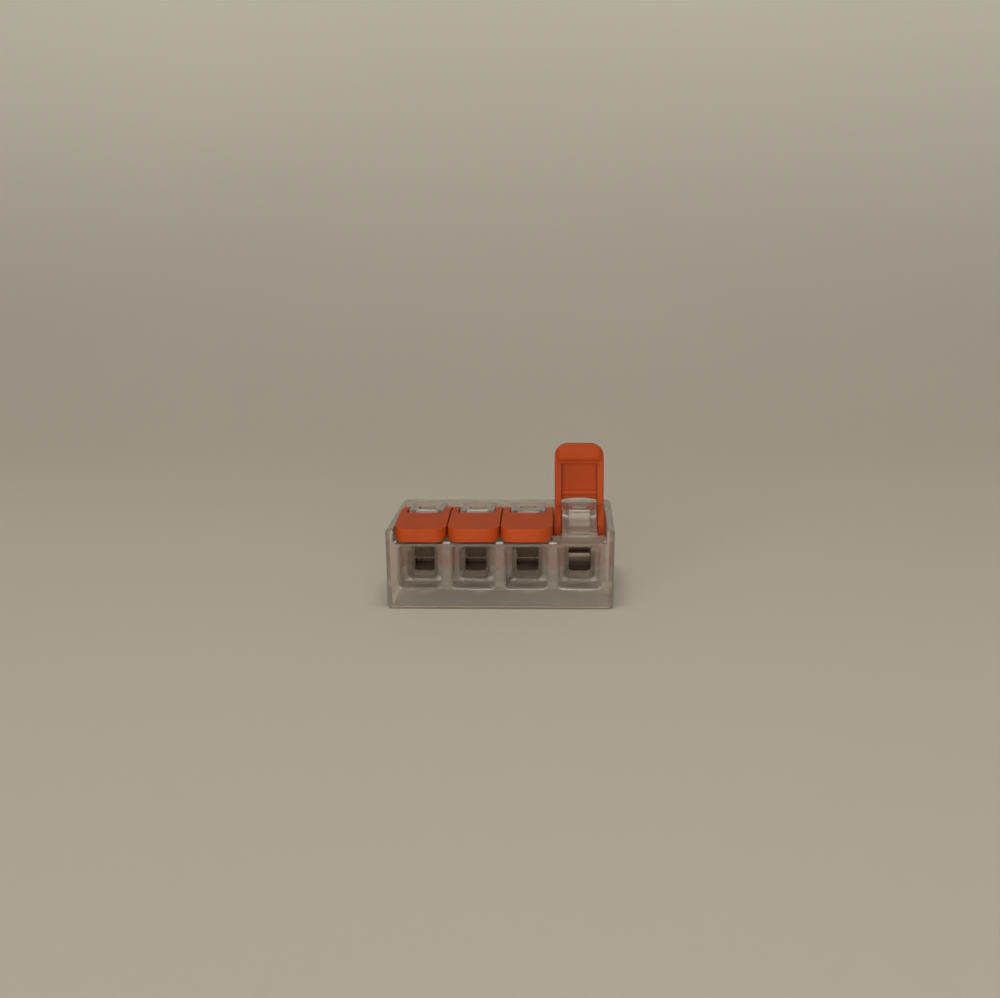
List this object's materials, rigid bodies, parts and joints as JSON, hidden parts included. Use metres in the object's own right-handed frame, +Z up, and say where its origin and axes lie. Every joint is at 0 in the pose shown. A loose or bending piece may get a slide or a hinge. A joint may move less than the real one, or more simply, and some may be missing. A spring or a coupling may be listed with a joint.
{
  "type": "lever wire connector",
  "caption": "Clear splicing connector with a row of wire entries, each clamped by a spring that an orange fold-up lever lifts.",
  "frame": {"origin": "centre of the housing's footprint, on its base", "axes": "+X along the row of poles, +Y from the wire entries towards the back, +Z up"},
  "size_m": [0.0242, 0.0188, 0.0159],
  "materials": {
    "clear_polycarbonate": "clear, glossy",
    "orange_polyamide": "semi-gloss moulded",
    "spring_steel": "rolled strip",
    "tinned_copper": "tin plated, satin"
  },
  "bodies": {
    "housing": {"housing": "clear_polycarbonate", "rear_cover": "clear_polycarbonate", "busbar": "tinned_copper", "clamp_spring_1": "spring_steel", "clamp_spring_2": "spring_steel", "clamp_spring_3": "spring_steel", "clamp_spring_4": "spring_steel"},
    "lever_1": {"lever_1": "orange_polyamide"},
    "clamp_leg_1": {"clamp_leg_1": "spring_steel"},
    "lever_2": {"lever_2": "orange_polyamide"},
    "clamp_leg_2": {"clamp_leg_2": "spring_steel"},
    "lever_3": {"lever_3": "orange_polyamide"},
    "clamp_leg_3": {"clamp_leg_3": "spring_steel"},
    "lever_4": {"lever_4": "orange_polyamide"},
    "clamp_leg_4": {"clamp_leg_4": "spring_steel"}
  },
  "joints": [
    {"name": "lever_1_hinge", "type": "hinge", "parent": "housing", "child": "lever_1", "pos_m": [-0.0084, 0.0012, 0.0053], "axis": [-1, 0, 0], "range_deg": [0, 90]},
    {"name": "clamp_leg_1_flex", "type": "hinge", "parent": "housing", "child": "clamp_leg_1", "pos_m": [-0.0084, -0.0032, 0.0061], "axis": [1, 0, 0], "range_deg": [0, 33]},
    {"name": "lever_2_hinge", "type": "hinge", "parent": "housing", "child": "lever_2", "pos_m": [-0.0028, 0.0012, 0.0053], "axis": [-1, 0, 0], "range_deg": [0, 90]},
    {"name": "clamp_leg_2_flex", "type": "hinge", "parent": "housing", "child": "clamp_leg_2", "pos_m": [-0.0028, -0.0032, 0.0061], "axis": [1, 0, 0], "range_deg": [0, 33]},
    {"name": "lever_3_hinge", "type": "hinge", "parent": "housing", "child": "lever_3", "pos_m": [0.0028, 0.0012, 0.0053], "axis": [-1, 0, 0], "range_deg": [0, 90]},
    {"name": "clamp_leg_3_flex", "type": "hinge", "parent": "housing", "child": "clamp_leg_3", "pos_m": [0.0028, -0.0032, 0.0061], "axis": [1, 0, 0], "range_deg": [0, 33]},
    {"name": "lever_4_hinge", "type": "hinge", "parent": "housing", "child": "lever_4", "pos_m": [0.0084, 0.0012, 0.0053], "axis": [-1, 0, 0], "range_deg": [-90, 0]},
    {"name": "clamp_leg_4_flex", "type": "hinge", "parent": "housing", "child": "clamp_leg_4", "pos_m": [0.0084, -0.0032, 0.0061], "axis": [1, 0, 0], "range_deg": [-33, 0]}
  ],
  "couplings": [
    {"joint": "clamp_leg_1_flex", "follows": "lever_1_hinge", "ratio": 0.36667},
    {"joint": "clamp_leg_2_flex", "follows": "lever_2_hinge", "ratio": 0.36667},
    {"joint": "clamp_leg_3_flex", "follows": "lever_3_hinge", "ratio": 0.36667},
    {"joint": "clamp_leg_4_flex", "follows": "lever_4_hinge", "ratio": 0.36667}
  ]
}
